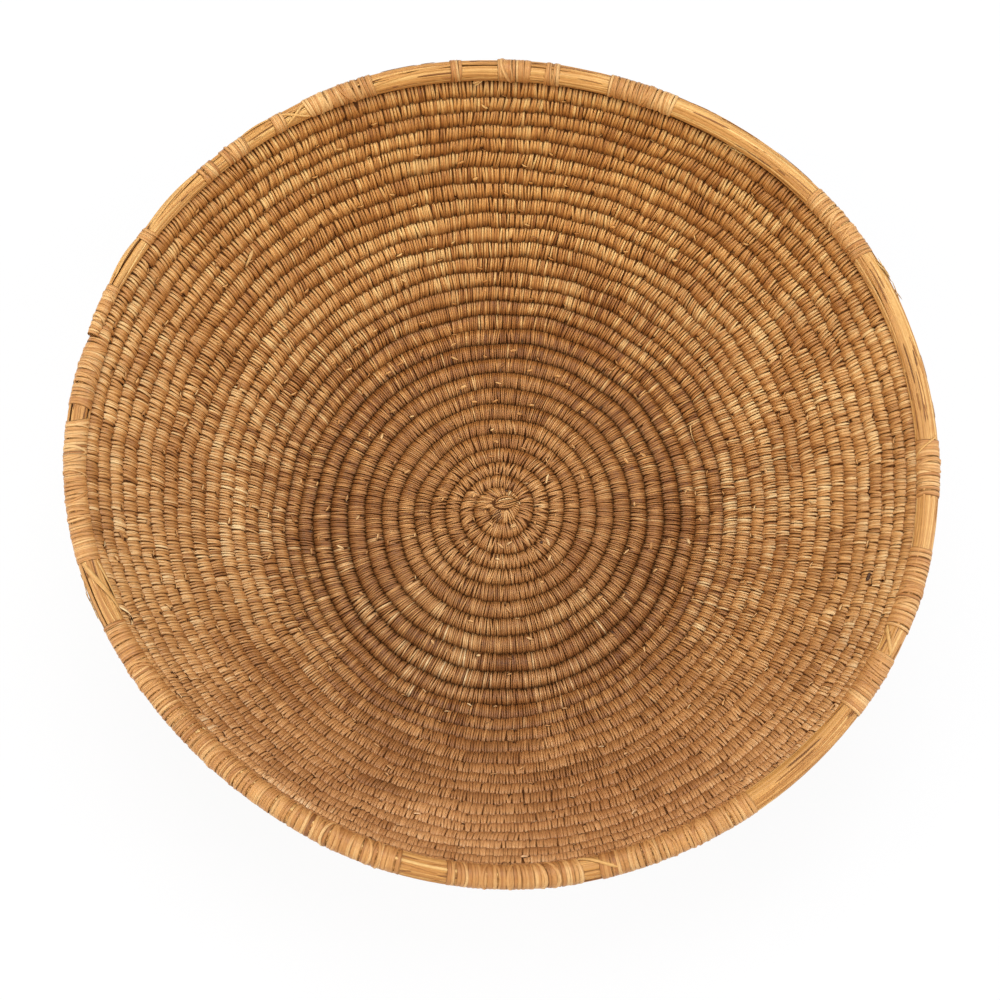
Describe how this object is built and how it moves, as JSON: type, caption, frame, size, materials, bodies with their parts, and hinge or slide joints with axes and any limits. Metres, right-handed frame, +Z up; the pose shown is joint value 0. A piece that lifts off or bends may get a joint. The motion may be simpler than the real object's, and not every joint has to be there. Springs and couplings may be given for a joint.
{
  "type": "coiled basket bowl",
  "caption": "Wide round bowl of wrapped grass coil wound from a knot in the domed base, with a thicker rim bundle tied down by wrapped bands, for holding fruit, bread or dry goods.",
  "frame": {"origin": "middle of the bowl's box on the surface it stands on", "axes": "+Z up out of the mouth, +X to the right and +Y away from the viewer of the picture"},
  "size_m": [0.3626, 0.3574, 0.1099],
  "materials": {
    "grass_coil": "matte, closely wrapped with narrow golden-brown splint",
    "start_knot": "matte, wrapped splint, darker with age",
    "rim_grass": "satin, straight golden grass stems",
    "rim_splint": "satin, wrapped splint"
  },
  "bodies": {
    "root": {"start_knot": "start_knot", "base_coil": "grass_coil", "lower_wall_coil": "grass_coil", "middle_wall_coil": "grass_coil", "upper_wall_coil": "grass_coil", "rim_bundle": "rim_grass", "rim_band_01": "rim_splint", "rim_band_02": "rim_splint", "rim_band_03": "rim_splint", "rim_band_04": "rim_splint", "rim_band_05": "rim_splint", "rim_band_06": "rim_splint", "rim_band_07": "rim_splint", "rim_band_08": "rim_splint", "rim_band_09": "rim_splint", "rim_band_10": "rim_splint", "rim_band_11": "rim_splint", "rim_band_12": "rim_splint", "rim_band_13": "rim_splint", "rim_band_14": "rim_splint", "rim_band_15": "rim_splint", "rim_band_16": "rim_splint", "rim_band_17": "rim_splint", "rim_band_18": "rim_splint", "rim_band_19": "rim_splint", "rim_band_20": "rim_splint", "rim_band_21": "rim_splint"}
  },
  "joints": []
}
